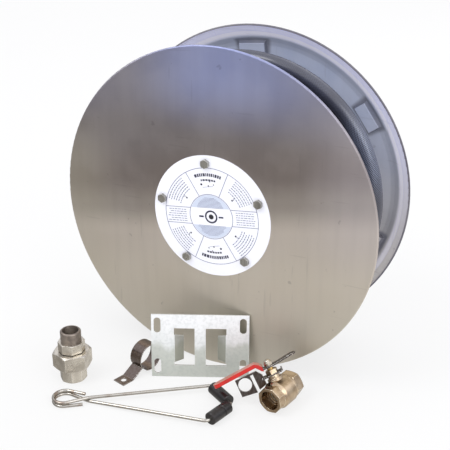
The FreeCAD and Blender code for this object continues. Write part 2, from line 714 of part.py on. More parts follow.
def make_valve_lever():
    strap = bent_strip(LEVER_LINE, LEVER_T, LEVER_HALF_W)
    hub = rod(9.5, (0, 0, HUB_Z - LEVER_T / 2), (0, 0, HUB_Z + LEVER_T / 2))
    leaf_z = LEVER_LINE[0][1]
    leaf_end = rod(LEVER_HALF_W, (-38, 0, leaf_z - LEVER_T / 2), (-38, 0, leaf_z + LEVER_T / 2))
    hole = rod(STEM_R + 0.02, (0, 0, 30), (0, 0, 60))
    return on_lever(strap.fuse(hub).fuse(leaf_end).cut(hole))


def make_lever_sleeve():
    """Dipped plastic sleeve over the cranked end of the lever."""
    outer = bent_strip(LEVER_LINE[3:], SLEEVE_T, SLEEVE_HALF_W)
    tip_x, tip_z = LEVER_LINE[-1]
    nose = rod(SLEEVE_HALF_W, (0, 0, -SLEEVE_T / 2), (0, 0, SLEEVE_T / 2))
    slope = math.atan2(LEVER_LINE[-1][1] - LEVER_LINE[-2][1], tip_x - LEVER_LINE[-2][0])
    nose.rotate(ORIGIN, Y_DIR, -math.degrees(slope))
    nose.translate(V(tip_x, 0, tip_z))
    outer = outer.fuse(nose).cut(block((0, -12, 30), (10, 12, 60)))
    return on_lever(outer).cut(make_valve_lever())


def make_stem_nut():
    nut = prism(6, 13, 5)
    crown = lathe([(0, 5), (6.2, 5), (5.0, 8.5), (2.5, 10), (0, 10.4)], Z_DIR)
    cap = nut.fuse(crown)
    cap.translate(V(0, 0, HUB_Z + LEVER_T / 2 + 0.1))
    return on_lever(cap.cut(rod(STEM_R + 0.02, (0, 0, 41), (0, 0, HUB_Z + 9.6))))


PARTS = {
    "spindle": make_spindle(),
    "seal_rings": make_seal_rings(),
    "retaining_ring": make_retaining_ring(),
    "front_thrust_washer": make_thrust_washer(-77.1),
    "rear_thrust_washer": make_thrust_washer(101.2),
    "hanger_plate": make_hanger_plate(),
    "hanger_bolts": make_hanger_bolts(),
    "front_disc": make_front_disc(),
    "rear_disc": make_rear_disc(),
    "drum_shell": make_drum_shell(),
    "drum_end_front": make_drum_end(FACE_Y + SHEET, -72.5, 2.5),
    "drum_end_rear": make_drum_end(BASE_Y - 2.5, 95.0, 2.5),
    "front_bush": make_bush(-72.5, 2.5, -1),
    "rear_bush": make_bush(95.0, 2.5, 1),
    "waterway_hub": make_waterway_hub(),
    "outlet_pipe": make_outlet_pipe(),
    "hose_lead": make_hose_lead(),
    "hose_clamp": make_hose_clamp(),
    "tie_bolts": make_tie_bolts(),
    "tie_nuts": make_tie_nuts(),
    "label_plate": make_label(),
    "centre_plug": make_centre_plug(),
    "hose_pack": make_hose_pack(),
    "nozzle_ferrule": make_nozzle_ferrule(),
    "nozzle_body": make_nozzle_body(),
    "nozzle_sleeve": make_nozzle_sleeve(),
    "wall_bracket": make_wall_bracket(),
    "union_tail": make_union_tail(),
    "union_gasket": make_union_gasket(),
    "union_head": make_union_head(),
    "union_nut": make_union_nut(),
    "union_nipple": make_union_nipple(),
    "pipe_clip": make_pipe_clip(),
    "guide_wire": make_guide_wire(),
    "guide_roller_side": make_roller(LEG_START, LEG_CORNER, 6.4, 44.8),
    "guide_roller_short": make_roller(LEG_CORNER, LEG_END, 7.9, 15.5),
    "guide_roller_long": make_roller(LEG_CORNER, LEG_END, 23.8, 26.4),
    "valve_body": make_valve_body(),
    "valve_end_cap": make_valve_end_cap(),
    "valve_seats": make_valve_seats(),
    "gland_nut": make_gland_nut(),
    "interlock_plate": make_interlock_plate(),
    "valve_ball": make_valve_ball(),
    "valve_stem": make_valve_stem(),
    "valve_lever": make_valve_lever(),
    "lever_sleeve": make_lever_sleeve(),
    "stem_nut": make_stem_nut(),
}

os.makedirs("parts", exist_ok=True)
for name, shape in PARTS.items():
    shape.translate(V(0, -BOLTING_Y, 0))
    shape.exportStep("parts/" + name + ".step")
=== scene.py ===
import json
import math
import random

import bpy
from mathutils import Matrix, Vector, noise


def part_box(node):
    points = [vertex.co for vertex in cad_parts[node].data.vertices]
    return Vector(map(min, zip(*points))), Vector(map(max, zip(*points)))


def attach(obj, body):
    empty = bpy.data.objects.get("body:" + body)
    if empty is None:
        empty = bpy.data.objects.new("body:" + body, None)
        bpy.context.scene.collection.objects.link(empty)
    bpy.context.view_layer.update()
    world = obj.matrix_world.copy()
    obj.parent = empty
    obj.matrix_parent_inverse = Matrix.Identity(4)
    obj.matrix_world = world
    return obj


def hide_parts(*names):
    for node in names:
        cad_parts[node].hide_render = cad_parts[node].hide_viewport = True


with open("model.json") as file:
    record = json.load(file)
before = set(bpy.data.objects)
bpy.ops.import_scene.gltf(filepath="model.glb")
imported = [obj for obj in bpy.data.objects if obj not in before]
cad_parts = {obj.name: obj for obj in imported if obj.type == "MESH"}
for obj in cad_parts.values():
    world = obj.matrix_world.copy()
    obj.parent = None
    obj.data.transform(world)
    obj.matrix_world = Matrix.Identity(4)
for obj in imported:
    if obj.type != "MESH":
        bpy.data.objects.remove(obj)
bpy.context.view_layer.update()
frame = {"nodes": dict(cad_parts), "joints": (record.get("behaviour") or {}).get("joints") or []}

MM = 0.001
nodes = frame["nodes"]
joints = {joint["name"]: joint for joint in frame["joints"]}
CENTRE = Vector(joints["reel_spin"]["pos_m"])
FLOOR_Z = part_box("front_disc")[0].z
LABEL_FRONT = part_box("label_plate")[0].y
random.seed(7)

PAD_COUNT = 6
PAD_START = 35.5          # angle of one pad on the rear disc, in degrees from +X
BRACKET_TURN = 23.5       # degrees about +Z that the bracket is turned from facing the front
THREAD_PITCH = 2.31 * MM  # 1 inch pipe thread
VALVE_BORE_R = 15.5 * MM
SHADED_WAY = Vector((-0.86, -0.1, -0.5))
FORWARD = (0, -1, 0)


def rgb(red, green, blue):
    """Linear colour from 0 to 255 display values."""
    return tuple(((value / 255 + 0.055) / 1.055) ** 2.4 if value > 10 else value / 3294.6
                 for value in (red, green, blue)) + (1.0,)


# ---- material graphs ----
class Graph:
    """One procedural material, with short calls for the nodes used here."""

    def __init__(self, name):
        self.material = bpy.data.materials.new(name)
        self.material.use_nodes = True
        self.tree = self.material.node_tree
        self.shader = self.tree.nodes["Principled BSDF"]
        coordinates = self.node("TexCoord")
        self.own = coordinates.outputs["Object"]
        self.uv = coordinates.outputs["UV"]
        geometry = self.node("NewGeometry")
        self.place = geometry.outputs["Position"]
        self.facing = geometry.outputs["Normal"]

    def node(self, kind, **settings):
        node = self.tree.nodes.new("ShaderNode" + kind)
        for key, value in settings.items():
            setattr(node, key, value)
        return node

    def put(self, socket, value):
        if isinstance(value, bpy.types.NodeSocket):
            self.tree.links.new(value, socket)
        else:
            socket.default_value = value

    def set(self, **inputs):
        for name, value in inputs.items():
            self.put(self.shader.inputs[name.replace("_", " ")], value)

    def math(self, operation, *values, clamp=False):
        node = self.node("Math", operation=operation, use_clamp=clamp)
        for socket, value in zip(node.inputs, values):
            self.put(socket, value)
        return node.outputs[0]

    def dot(self, vector, other):
        node = self.node("VectorMath", operation="DOT_PRODUCT")
        self.put(node.inputs[0], vector)
        self.put(node.inputs[1], other)
        return node.outputs["Value"]

    def shift(self, vector, offset):
        node = self.node("VectorMath", operation="SUBTRACT")
        self.put(node.inputs[0], vector)
        self.put(node.inputs[1], tuple(offset))
        return node.outputs[0]

    def axes(self, vector):
        return self.node_outputs("SeparateXYZ", vector)

    def node_outputs(self, kind, value):
        node = self.node(kind)
        self.put(node.inputs[0], value)
        return node.outputs

    def step(self, value, low, high, out_low=0.0, out_high=1.0):
        """Smooth change from out_low to out_high as value goes from low to high."""
        node = self.node("MapRange", interpolation_type="SMOOTHSTEP")
        for socket, number in zip(node.inputs, (value, low, high, out_low, out_high)):
            self.put(socket, number)
        return node.outputs[0]

    def noise(self, vector, scale, detail=3.0, stretch=(1, 1, 1)):
        mapping = self.node("Mapping")
        self.put(mapping.inputs["Vector"], vector)
        mapping.inputs["Scale"].default_value = stretch
        node = self.node("TexNoise")
        self.put(node.inputs["Vector"], mapping.outputs[0])
        node.inputs["Scale"].default_value = scale
        node.inputs["Detail"].default_value = detail
        return node.outputs[0]

    def ramp(self, value, stops):
        node = self.node("ValToRGB")
        self.put(node.inputs[0], value)
        bar = node.color_ramp
        bar.interpolation = "EASE"
        while len(bar.elements) < len(stops):
            bar.elements.new(0.5)
        for element, (position, colour) in zip(bar.elements, stops):
            element.position = position
            element.color = colour
        return node.outputs[0]

    def mix(self, factor, first, second, blend="MIX"):
        node = self.node("Mix", data_type="RGBA", blend_type=blend)
        for name, value in (("Factor_Float", factor), ("A_Color", first), ("B_Color", second)):
            socket = next(s for s in node.inputs if s.identifier == name)
            self.put(socket, value)
        return next(s for s in node.outputs if s.identifier == "Result_Color")

    def bump(self, height, distance, below=None):
        node = self.node("Bump")
        node.inputs["Distance"].default_value = distance
        self.put(node.inputs["Height"], height)
        if below is not None:
            self.put(node.inputs["Normal"], below)
        return node.outputs[0]

    def edge(self, radius):
        """Normal that rounds sharp edges to this radius."""
        node = self.node("Bevel", samples=4)
        node.inputs["Radius"].default_value = radius
        return node.outputs[0]

    def shaded_side(self, amount):
        """Up to amount on faces that turn left and down; paints in shade that the room doesn't give."""
        return self.step(self.dot(self.facing, SHADED_WAY), -0.25, 0.85, 0.0, amount)

    def sharp_edges(self, radius):
        """0 on flat surfaces and up to 1 along sharp edges."""
        return self.step(self.dot(self.edge(radius), self.facing), 0.995, 0.9)


def specks(graph, vector, scale, low, high):
    """Sparse small spots: 0 nearly everywhere, 1 in the spots."""
    return graph.step(graph.noise(vector, scale, 2.0), low, high)


def scratches(graph, vector, stretch, low=0.69, high=0.74):
    return graph.step(graph.noise(vector, 9.0, 1.0, stretch), low, high)


def rolled_sheet(name, colour_of, rough, metallic, bounce=0.0):
    """Satin stainless sheet: colour_of gives the broad sheen, then mottling, specks and scratches.

    bounce is light given off by forward faces; it stands for light thrown between the discs.
    """
    graph = Graph(name)
    colour = colour_of(graph)
    mottle = graph.noise(graph.own, 16.0, 4.0)
    colour = graph.mix(graph.step(mottle, 0.35, 0.65, 0.0, 0.06), colour, rgb(235, 230, 225))
    lengthwise = graph.noise(graph.own, 60.0, 3.0, (1, 1, 0.06))
    colour = graph.mix(graph.step(lengthwise, 0.4, 0.7, 0.0, 0.04), colour, rgb(60, 58, 60))
    spots = specks(graph, graph.own, 70.0, 0.72, 0.77)
    colour = graph.mix(graph.math("MULTIPLY", spots, 0.22), colour, rgb(70, 64, 70))
    lines = graph.math("MAXIMUM", scratches(graph, graph.own, (1.2, 1, 16)),
                       scratches(graph, graph.own, (15, 1, 1.4)))
    colour = graph.mix(graph.math("MULTIPLY", lines, 0.09), colour, rgb(90, 84, 86))
    grain = graph.noise(graph.own, 900.0, 2.0, (1, 1, 0.15))
    forward = graph.step(graph.dot(graph.facing, FORWARD), 0.1, 0.6, 0.0, bounce)
    graph.set(Base_Color=colour, Metallic=metallic, Emission_Color=colour, Emission_Strength=forward,
              Roughness=graph.step(mottle, 0.2, 0.8, rough - 0.04, rough + 0.05),
              Normal=graph.bump(grain, 0.00003))
    return graph.material


def front_sheen(graph):
    """Painted sheen by place in the room: blue at the top, dark in the middle, warm and lighter below."""
    x, _, z = graph.axes(graph.shift(graph.place, CENTRE))[:3]
    level = graph.math("SUBTRACT", z, graph.math("MULTIPLY", x, 0.17))
    colour = graph.ramp(graph.step(level, -0.27, 0.27), [
        (0.00, rgb(206, 200, 186)), (0.20, rgb(210, 202, 188)), (0.42, rgb(202, 193, 182)),
        (0.56, rgb(158, 150, 142)), (0.68, rgb(130, 121, 116)), (0.88, rgb(132, 126, 126)),
        (1.00, rgb(144, 141, 150))])
    top = graph.math("MULTIPLY", graph.step(z, 0.12, 0.225), graph.step(x, -0.16, -0.01))
    top = graph.math("MULTIPLY", top, graph.step(x, 0.19, 0.02, 0.45, 1.0))
    colour = graph.mix(top, colour, rgb(152, 159, 196))
    left_rim = graph.math("MULTIPLY", graph.step(x, -0.15, -0.25), graph.step(z, 0.16, 0.06, 0.0, 0.45))
    colour = graph.mix(left_rim, colour, rgb(188, 181, 164))
    right = graph.math("MULTIPLY", graph.step(x, 0.12, 0.24), graph.step(z, -0.1, 0.05, 0.0, 0.35))
    return graph.mix(right, colour, rgb(206, 199, 206))


def pad_shade(graph, reach):
    """1 on the sloping sides of the rear disc's pads, 0 on their tops and elsewhere."""
    own = graph.shift(graph.own, CENTRE)
    x, y, z = graph.axes(own)[:3]
    turned = graph.math("SUBTRACT", graph.math("ARCTAN2", z, x), math.radians(PAD_START))
    off_pad = graph.math("PINGPONG", turned, math.radians(180 / PAD_COUNT))
    across = graph.step(off_pad, math.radians(8.6), math.radians(6.6))
    outward = graph.math("MULTIPLY", graph.step(reach, 0.206, 0.209), graph.step(reach, 0.2425, 0.2385))
    side = graph.step(y, 0.1050, 0.1066, 0.0, 0.75)
    return graph.math("MULTIPLY", graph.math("MULTIPLY", across, outward), side)


def rear_sheen(graph):
    """Painted sheen by place: lavender above, neutral below, a pale crease between flank and rim."""
    x, _, z = graph.axes(graph.shift(graph.place, CENTRE))[:3]
    squares = graph.math("ADD", graph.math("MULTIPLY", x, x), graph.math("MULTIPLY", z, z))
    reach = graph.math("SQRT", squares)
    height = graph.step(z, -0.16, 0.2)
    base = graph.mix(height, rgb(158, 154, 152), rgb(150, 158, 180))
    rim = graph.mix(height, rgb(202, 198, 196), rgb(212, 213, 238))
    colour = graph.mix(graph.step(reach, 0.246, 0.256), base, rim)
    flank = graph.math("MULTIPLY", graph.step(reach, 0.222, 0.236),
                       graph.step(reach, 0.246, 0.241, 0.0, 0.3))
    colour = graph.mix(flank, colour, rgb(124, 126, 138))
    crease = graph.math("MULTIPLY", graph.step(reach, 0.241, 0.2475), graph.step(reach, 0.2545, 0.2505))
    colour = graph.mix(graph.math("MULTIPLY", crease, 0.75), colour, rgb(236, 234, 246))
    colour = graph.mix(pad_shade(graph, reach), colour, rgb(74, 76, 90))
    return graph.mix(graph.step(reach, 0.2622, 0.2640), colour, rgb(84, 82, 92))


def plain_steel(name, colour, rough, edge_light=0.5, mottle=0.35, grain=(1, 1, 0.1)):
    graph = Graph(name)
    patches = graph.noise(graph.own, 45.0, 4.0)
    streaks = graph.noise(graph.own, 320.0, 2.0, grain)
    tone = graph.mix(graph.step(patches, 0.3, 0.7, 0.0, mottle), colour, rgb(70, 66, 62))
    tone = graph.mix(graph.step(streaks, 0.35, 0.7, 0.0, mottle * 0.6), tone, rgb(225, 222, 218))
    # painted highlight: sharp edges lightened, as strongly as edge_light says
    sharp_edges = graph.math("MULTIPLY", graph.sharp_edges(0.0009), edge_light)
    graph.set(Base_Color=graph.mix(sharp_edges, tone, rgb(240, 238, 232)), Metallic=1.0,
              Roughness=graph.step(patches, 0.2, 0.8, rough - 0.06, rough + 0.1),
              Normal=graph.bump(streaks, 0.00004, graph.edge(0.0005)))
    return graph.material


def drawn_wire(name):
    """Bright smooth wire with brown stains near the crossing."""
    graph = Graph(name)
    low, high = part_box("guide_wire")
    x, _, _ = graph.axes(graph.place)[:3]
    stain = graph.noise(graph.own, 60.0, 3.0)
    near = graph.step(x, low.x + (high.x - low.x) * 0.5, low.x + (high.x - low.x) * 0.2)
    tone = graph.mix(graph.step(stain, 0.35, 0.7, 0.0, 0.25), rgb(186, 182, 174), rgb(140, 134, 124))
    brown = graph.math("MULTIPLY", near, graph.step(stain, 0.48, 0.62, 0.0, 0.4))
    graph.set(Base_Color=graph.mix(brown, tone, rgb(128, 92, 66)), Metallic=1.0,
              Roughness=graph.step(stain, 0.2, 0.8, 0.16, 0.28), Normal=graph.bump(stain, 0.0001))
    return graph.material


def zinc_plate(name):
    """Passivated zinc with painted light: a painted sheen by height, near white above and grey-green below
    in soft upright bands; painted shade on faces turned from the front; painted highlight on sharp edges.
    """
    graph = Graph(name)
    low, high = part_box("wall_bracket")
    _, _, z = graph.axes(graph.place)[:3]
    bands = graph.noise(graph.own, 22.0, 3.0, (1, 1, 0.25))
    # painted sheen: lighter with height in the room, broken into soft upright bands
    height = graph.math("ADD", graph.step(z, low.z, high.z), graph.step(bands, 0.2, 0.8, -0.18, 0.18))
    colour = graph.ramp(height, [(0.0, rgb(192, 196, 188)), (0.42, rgb(204, 208, 200)),
                                 (0.62, rgb(238, 241, 240)), (1.0, rgb(250, 252, 252))])
    fine = graph.noise(graph.own, 210.0, 4.0)
    colour = graph.mix(graph.step(fine, 0.42, 0.66, 0.0, 0.14), colour, rgb(140, 148, 144))
    turn = math.radians(BRACKET_TURN)
    square_on = graph.dot(graph.facing, (math.sin(turn), -math.cos(turn), 0))
    # painted shade on faces that turn away from the front, such as the bent tongues
    colour = graph.mix(graph.step(square_on, 0.94, 0.75, 0.0, 0.6), colour, rgb(132, 130, 112))
    # painted highlight along sharp edges
    graph.set(Base_Color=graph.mix(graph.sharp_edges(0.001), colour, rgb(252, 254, 252)), Metallic=0.4,
              Roughness=graph.step(bands, 0.3, 0.7, 0.34, 0.46),
              Normal=graph.bump(fine, 0.00005, graph.edge(0.0006)))
    return graph.material


def casting(name, colour, dark, light, rough, grit=0.00012, metallic=0.9):
    """Rough cast metal with a painted highlight along sharp edges and painted shade on faces that turn left
    and down.
    """
    graph = Graph(name)
    grains = graph.noise(graph.own, 700.0, 5.0)
    cloud = graph.noise(graph.own, 70.0, 4.0)
    tone = graph.mix(graph.step(cloud, 0.35, 0.7, 0.0, 0.45), colour, dark)
    tone = graph.mix(graph.step(grains, 0.5, 0.75, 0.0, 0.2), tone, light)
    tone = graph.mix(graph.shaded_side(0.75), tone, dark, "MULTIPLY")
    # painted highlight along sharp edges
    tone = graph.mix(graph.math("MULTIPLY", graph.sharp_edges(0.0010), 0.8), tone, light)
    graph.set(Base_Color=tone, Metallic=metallic,
              Roughness=graph.step(cloud, 0.2, 0.8, rough, rough + 0.12),
              Normal=graph.bump(grains, grit, graph.edge(0.0005)))
    return graph.material


def threaded(name, colour, origin, axis, pitch=THREAD_PITCH):
    """Oiled dark thread: V grooves across the axis."""
    graph = Graph(name)
    along = graph.dot(graph.shift(graph.own, origin), axis)
    wave = graph.math("PINGPONG", graph.math("DIVIDE", along, pitch), 0.5)
    oil = graph.noise(graph.own, 120.0, 4.0)
    tone = graph.mix(graph.step(wave, 0.25, 0.5, 0.0, 0.35), colour, rgb(168, 156, 146))
    tone = graph.mix(graph.step(oil, 0.4, 0.7, 0.0, 0.3), tone, rgb(58, 50, 48))
    graph.set(Base_Color=tone, Metallic=0.8, Roughness=0.38,
              Normal=graph.bump(wave, 0.0009, graph.edge(0.0005)))
    return graph.material


def nickel_brass(name):
    """Valve casting: sand-cast barrel, smoother machined ends and a threaded bore."""
    graph = Graph(name)
    origin = Vector(joints["lever_swing"]["pos_m"])
    stem = Vector(joints["lever_swing"]["axis"])
    axis = stem.cross((0, 0, 1)).normalized()
    if axis.y < 0:
        axis = -axis
    local = graph.shift(graph.own, origin)
    along = graph.dot(local, axis)
    length = graph.math("ABSOLUTE", along)
    cast = graph.step(length, 0.0175, 0.0145)
    grains = graph.noise(graph.own, 520.0, 5.0)
    cloud = graph.noise(graph.own, 60.0, 4.0)
    tone = graph.mix(graph.step(cloud, 0.35, 0.7, 0.0, 0.6), rgb(206, 186, 158), rgb(132, 108, 80))
    tone = graph.mix(graph.shaded_side(0.9), tone, rgb(134, 108, 78), "MULTIPLY")
    # painted highlight along sharp edges
    tone = graph.mix(graph.math("MULTIPLY", graph.sharp_edges(0.0011), 0.85), tone, rgb(255, 244, 220))
    squares = graph.math("SUBTRACT", graph.dot(local, local), graph.math("MULTIPLY", along, along))
    inside = graph.math("SQRT", squares)
    bore = graph.math("MULTIPLY", graph.step(inside, VALVE_BORE_R + 0.5 * MM, VALVE_BORE_R),
                      graph.step(length, 0.0155, 0.0165))
    groove = graph.math("PINGPONG", graph.math("DIVIDE", along, THREAD_PITCH), 0.5)
    tone = graph.mix(graph.math("MULTIPLY", bore, graph.step(groove, 0.3, 0.1)), tone, rgb(120, 96, 70))
    skin = graph.math("MULTIPLY", grains, graph.math("ADD", graph.math("MULTIPLY", cast, 0.8), 0.2))
    rough = graph.math("ADD", graph.math("MULTIPLY", cast, 0.1), 0.18)
    under = graph.bump(skin, 0.00022, graph.edge(0.0012))
    graph.set(Base_Color=tone, Metallic=1.0, Roughness=rough,
              Normal=graph.bump(graph.math("MULTIPLY", groove, bore), 0.0008, under))
    return graph.material


def moulded(name, colour, rough, coat=0.0, mark=rgb(60, 56, 60), amount=0.25):
    """Moulded plastic or rubber with faint flow marks; sharp edges are drawn towards the mark colour, which
    on the black parts is a painted highlight.
    """
    graph = Graph(name)
    cloud = graph.noise(graph.own, 55.0, 4.0)
    pores = graph.noise(graph.own, 800.0, 3.0)
    tone = graph.mix(graph.step(cloud, 0.4, 0.7, 0.0, amount), colour, mark)
    # sharp edges towards the mark colour: a painted highlight on the black parts
    tone = graph.mix(graph.math("MULTIPLY", graph.sharp_edges(0.0010), 0.5), tone, mark)
    graph.set(Base_Color=tone, Roughness=graph.step(cloud, 0.2, 0.8, rough, rough + 0.12),
              Coat_Weight=coat, Coat_Roughness=0.12,
              Normal=graph.bump(pores, 0.00005, graph.edge(0.0007)))
    return graph.material


def dipped_vinyl(name):
    """Glossy red sleeve with a painted highlight: its upward faces are painted paler in blotches."""
    graph = Graph(name)
    cloud = graph.noise(graph.own, 90.0, 4.0)
    _, _, up = graph.axes(graph.facing)[:3]
    # painted highlight on upward faces, in blotches
    upper_highlight = graph.math("MULTIPLY", graph.step(up, 0.55, 0.85), graph.step(cloud, 0.3, 0.55, 0.35, 0.85))
    tone = graph.mix(graph.step(cloud, 0.35, 0.7, 0.0, 0.4), rgb(196, 26, 12), rgb(146, 14, 8))
    tone = graph.mix(upper_highlight, tone, rgb(196, 150, 132))
    graph.set(Base_Color=tone, Roughness=0.36, Coat_Weight=0.3, Coat_Roughness=0.12,
              Normal=graph.bump(cloud, 0.0003, graph.edge(0.0016)))
    return graph.material


def braided_hose(name):
    """Woven hose under a clear cover, with a painted glint on the strands at the right. UV: metres along it,
    turns around it.
    """
    graph = Graph(name)
    along, around, _ = graph.axes(graph.uv)[:3]
    strands = []
    for lean in (1, -1):
        phase = graph.math("ADD", graph.math("DIVIDE", along, 0.0042),
                           graph.math("MULTIPLY", around, 26.0 * lean))
        strands.append(graph.math("PINGPONG", phase, 0.5))
    weave = graph.math("MAXIMUM", *strands)
    dirt = graph.noise(graph.own, 24.0, 4.0)
    x, _, z = graph.axes(graph.shift(graph.place, CENTRE))[:3]
    angle = graph.math("ARCTAN2", z, x)
    # painted glint: strands brighter at the right, from level to about 45 degrees up
    lit = graph.math("MULTIPLY", graph.step(angle, 0.05, 0.3), graph.step(angle, 0.8, 0.5))
    strand = graph.mix(lit, rgb(82, 86, 102), rgb(150, 160, 184))
    tone = graph.mix(graph.step(weave, 0.34, 0.48), rgb(44, 46, 60), strand)
    tone = graph.mix(graph.step(dirt, 0.4, 0.7, 0.0, 0.4), tone, rgb(48, 48, 58))
    graph.set(Base_Color=tone, Metallic=graph.step(weave, 0.34, 0.48, 0.0, 0.6), Roughness=0.36,
              Coat_Weight=0.8, Coat_Roughness=0.14, Normal=graph.bump(weave, 0.0004))
    return graph.material


def printed_plate(name):
    graph = Graph(name)
    cloud = graph.noise(graph.own, 22.0, 4.0)
    speck = specks(graph, graph.own, 240.0, 0.72, 0.76)
    tone = graph.mix(graph.step(cloud, 0.4, 0.7, 0.0, 0.25), rgb(236, 237, 243), rgb(224, 226, 236))
    tone = graph.mix(graph.math("MULTIPLY", speck, 0.35), tone, rgb(150, 152, 170))
    graph.set(Base_Color=tone, Roughness=graph.step(cloud, 0.2, 0.8, 0.30, 0.42),
              Normal=graph.bump(cloud, 0.00005, graph.edge(0.0003)))
    return graph.material


def ink(name, colour, thin):
    graph = Graph(name)
    wear = graph.noise(graph.own, 420.0, 3.0)
    tone = graph.mix(graph.step(wear, 0.5, 0.75, thin, thin + 0.15), colour, rgb(206, 210, 222))
    graph.set(Base_Color=tone, Roughness=0.45, Normal=graph.bump(wear, 0.00002))
    return graph.material


MATERIALS = {
    "front_disc": rolled_sheet("front_sheet", front_sheen, 0.5, 0.85),
    "rear_disc": rolled_sheet("rear_sheet", rear_sheen, 0.45, 0.3, 0.4),
    "label_plate": printed_plate("label_white"),
    "wall_bracket": zinc_plate("zinc_plate"),
    "union_nipple": threaded("oiled_thread", rgb(140, 130, 120), CENTRE, (0, 0, 1)),
    "lever_sleeve": dipped_vinyl("red_vinyl"),
    "guide_wire": drawn_wire("drawn_wire"),
}


def paint(material, *names):
    for name in names:
        MATERIALS[name] = material


paint(plain_steel("sheet_inner", rgb(150, 148, 152), 0.36), "drum_shell", "drum_end_front", "drum_end_rear")
paint(plain_steel("turned_steel", rgb(150, 148, 146), 0.3),
      "spindle", "front_thrust_washer", "rear_thrust_washer", "retaining_ring")
paint(plain_steel("hanger_zinc", rgb(176, 182, 176), 0.36), "hanger_plate", "hanger_bolts")
paint(plain_steel("bolt_zinc", rgb(166, 164, 158), 0.3, 0.8), "tie_bolts", "tie_nuts")
# the dark, warm base colour of the strap steel is a painted reflection of its brownish surroundings
paint(plain_steel("strap_stainless", rgb(112, 100, 94), 0.2, 0.9, 0.12), "pipe_clip", "hose_clamp")
paint(plain_steel("dark_strip", rgb(84, 73, 66), 0.28, 0.9, 0.12), "interlock_plate", "valve_lever")
paint(plain_steel("nut_chrome", rgb(190, 180, 160), 0.16, 0.6), "stem_nut", "valve_ball")
paint(casting("malleable_iron", rgb(214, 208, 196), rgb(150, 142, 130), rgb(250, 248, 242), 0.22),
      "union_tail", "union_head", "union_nut")
paint(casting("cast_alloy", rgb(150, 152, 154), rgb(104, 106, 108), rgb(210, 212, 214), 0.4), "waterway_hub")
paint(casting("fitting_brass", rgb(190, 158, 98), rgb(134, 104, 58), rgb(240, 214, 156), 0.28, 0.00003),
      "outlet_pipe", "nozzle_ferrule", "nozzle_body", "valve_stem")
paint(nickel_brass("valve_nickel"), "valve_body", "valve_end_cap", "gland_nut")
paint(moulded("black_plastic", rgb(15, 14, 15), 0.34, 0.2, rgb(52, 42, 40), 0.2),
      "guide_roller_side", "guide_roller_short", "guide_roller_long", "nozzle_sleeve")
paint(moulded("plug_black", rgb(30, 30, 36), 0.4), "centre_plug", "seal_rings", "union_gasket")
paint(moulded("bearing_cream", rgb(226, 222, 208), 0.4, 0.0, rgb(170, 164, 150)), "front_bush", "rear_bush",
      "valve_seats")
hose_material = braided_hose("braided_hose")
paint(hose_material, "hose_lead", "hose_pack")

for name, node in nodes.items():
    node.data.materials.clear()
    node.data.materials.append(MATERIALS[name])


# ---- wound hose ----
HOSE_R = 12.75 * MM
LAYER_R = 196.2 * MM
TURN_R = 220.3 * MM
TURN_Y = 46.0 * MM
PACK_LOW, PACK_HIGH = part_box("hose_pack")
NOZZLE = Vector(joints["nozzle_sleeve_turn"]["pos_m"])


def around(angle, radius, y):
    """Point about the spin axis; angle in degrees from +X, anticlockwise from the front."""
    turn = math.radians(angle)
    return CENTRE + Vector((radius * math.cos(turn), y, radius * math.sin(turn)))


def tube_mesh(name, points, radius, sides=18):
    """Tube along points, with UV in metres along and turns around."""
    vertices, lengths = [], [0.0]
    side = None
    for index, point in enumerate(points):
        before, after = points[max(index - 1, 0)], points[min(index + 1, len(points) - 1)]
        along = (after - before).normalized()
        if index:
            lengths.append(lengths[-1] + (point - points[index - 1]).length)
        guess = side if side else along.orthogonal()
        side = (guess - along * guess.dot(along)).normalized()
        other = along.cross(side)
        for step in range(sides):
            turn = math.tau * step / sides
            vertices.append(point + (side * math.cos(turn) + other * math.sin(turn)) * radius)
    faces, uvs = [], []
    for ring in range(len(points) - 1):
        for step in range(sides):
            nearest, following = ring * sides + step, ring * sides + (step + 1) % sides
            faces.append((nearest, following, following + sides, nearest + sides))
            low, high = step / sides, (step + 1) / sides
            here, ahead = lengths[ring], lengths[ring + 1]
            uvs += [(here, low), (here, high), (ahead, high), (ahead, low)]
    faces += [tuple(range(sides))[::-1], tuple(len(vertices) - sides + step for step in range(sides))]
    uvs += [(0, 0)] * (2 * sides)
    mesh = bpy.data.meshes.new(name)
    mesh.from_pydata(vertices, [], faces)
    layer = mesh.uv_layers.new(name="hose")
    for loop, uv in zip(layer.data, uvs):
        loop.uv = uv
    mesh.shade_smooth()
    piece = bpy.data.objects.new(name, mesh)
    bpy.context.scene.collection.objects.link(piece)
    return piece


def wound_layer():
    """Side by side turns of the top layer, each a little uneven."""
    turns = 7
    pitch = (PACK_HIGH.y - PACK_LOW.y) / turns
    first = PACK_LOW.y - CENTRE.y + pitch / 2
    points = []
    steps = 96
    for step in range(turns * steps + 1):
        angle = -100 + step * 360 / steps
        share = min(max(step / steps - 0.5, 0), turns - 1)
        wander = noise.noise(Vector((step * 0.11, 0.3, 0.7)))
        points.append(around(angle, LAYER_R + wander * 0.4 * MM, first + share * pitch * 0.998))
    return points


def last_turn():
    """The outermost turn, rising out of the layer and running round the reel; hose_tail takes it on to the
    nozzle.
    """
    points = []
    for step in range(20):
        lift = step / 19
        rise = lift * lift * (3 - 2 * lift)
        points.append(around(186 - 40 * lift, LAYER_R + (TURN_R - LAYER_R) * rise, TURN_Y))
    for step in range(1, 92):
        points.append(around(146 - step * 284 / 91, TURN_R, TURN_Y))
    return points


